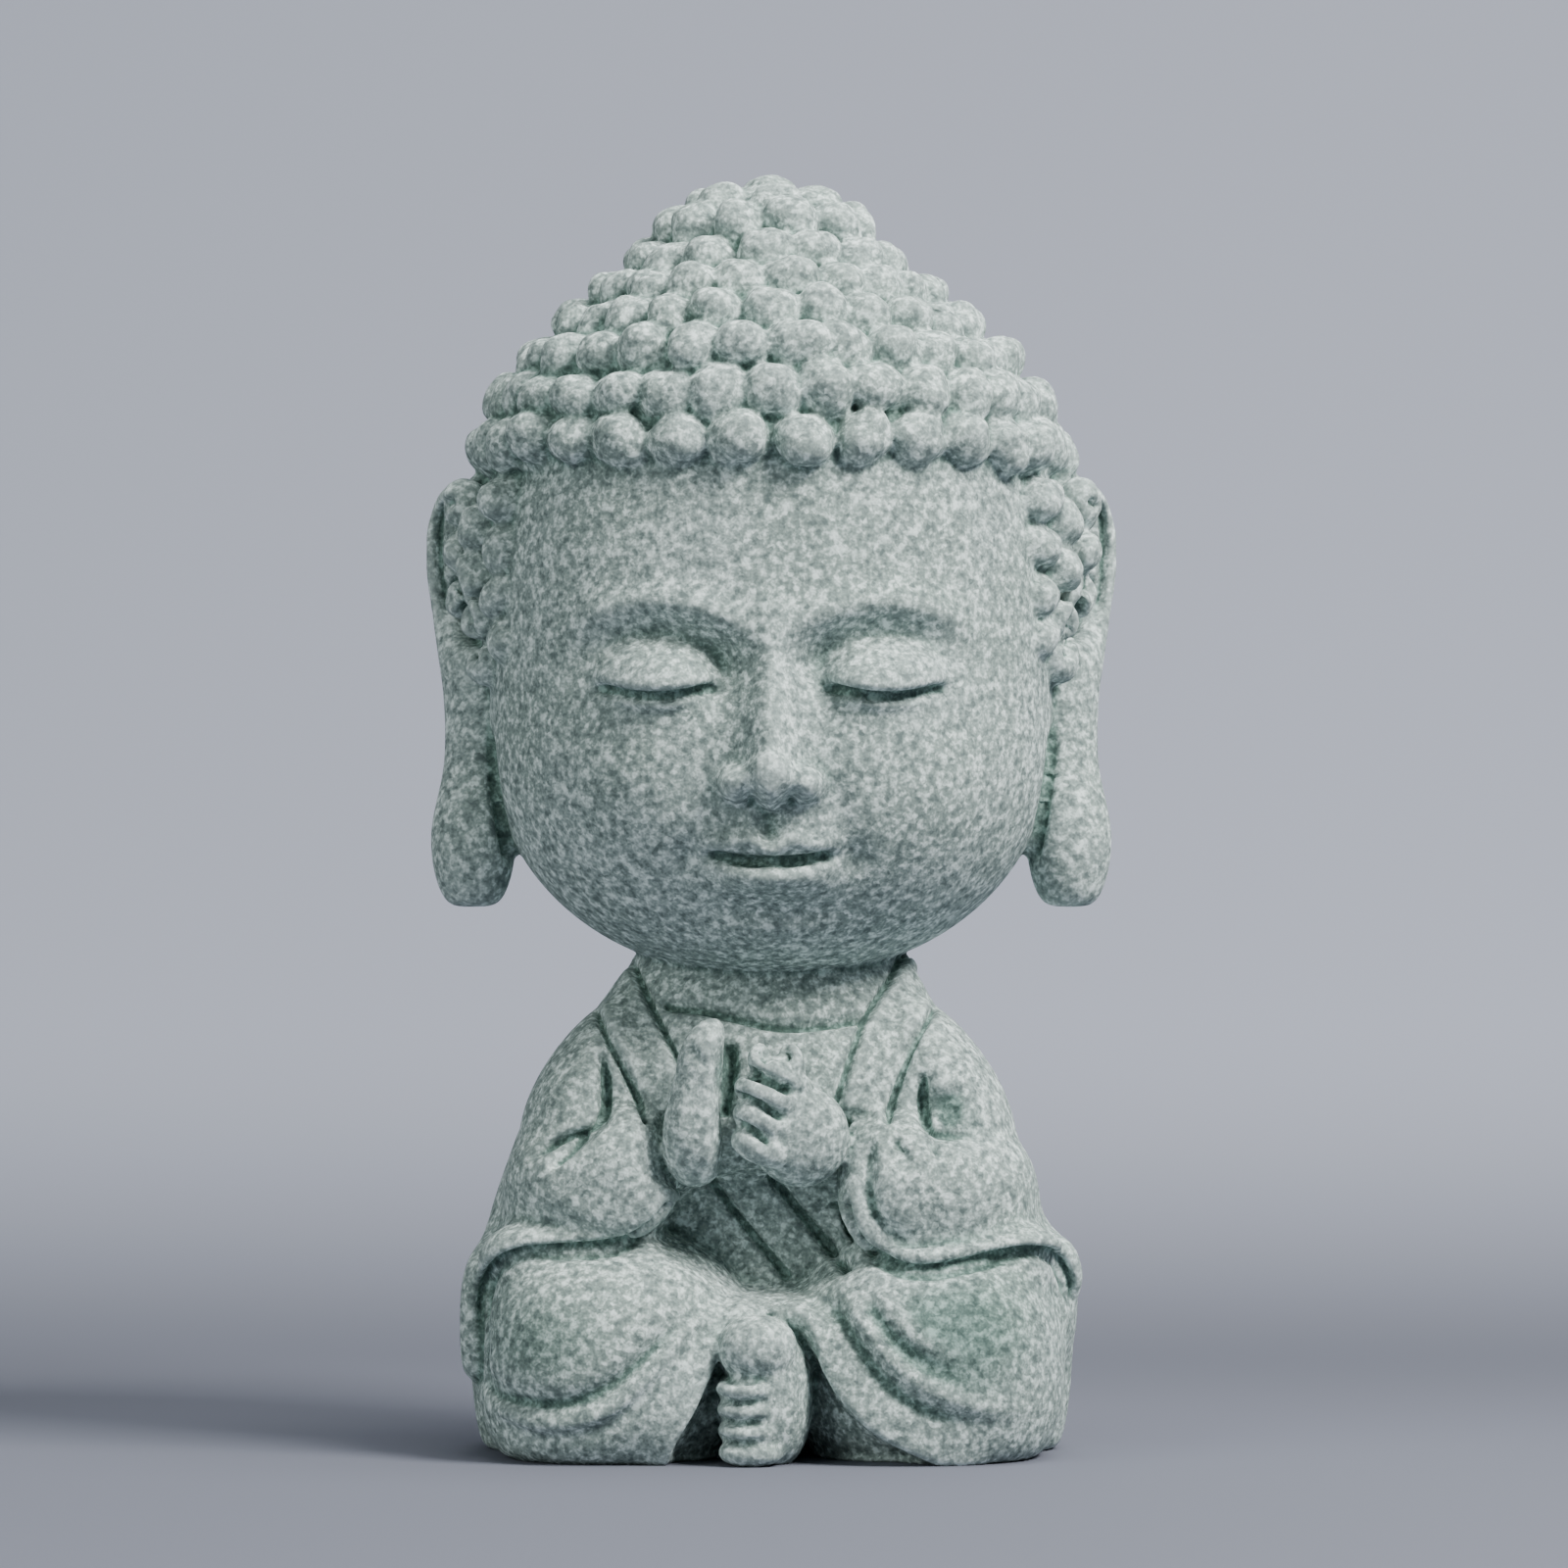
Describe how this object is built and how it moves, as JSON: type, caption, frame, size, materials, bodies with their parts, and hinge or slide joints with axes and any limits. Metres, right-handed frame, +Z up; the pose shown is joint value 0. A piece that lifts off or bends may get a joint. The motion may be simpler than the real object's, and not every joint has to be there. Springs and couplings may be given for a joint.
{
  "type": "seated monk figurine",
  "caption": "Cast sandstone-resin figurine of a seated monk with snail curls, long ear lobes, hands before the chest and draped knees.",
  "frame": {"origin": "centre of the flat underside, under the middle of the bounding box", "axes": "+Z up through the topknot, the figure faces -Y, +X towards its own left hand"},
  "size_m": [0.0598, 0.0517, 0.1101],
  "materials": {
    "sandstone": "matt grey-green cast sandstone resin with fine pale, grey and dark grains"
  },
  "bodies": {
    "root": {"figurine": "sandstone"}
  },
  "joints": []
}
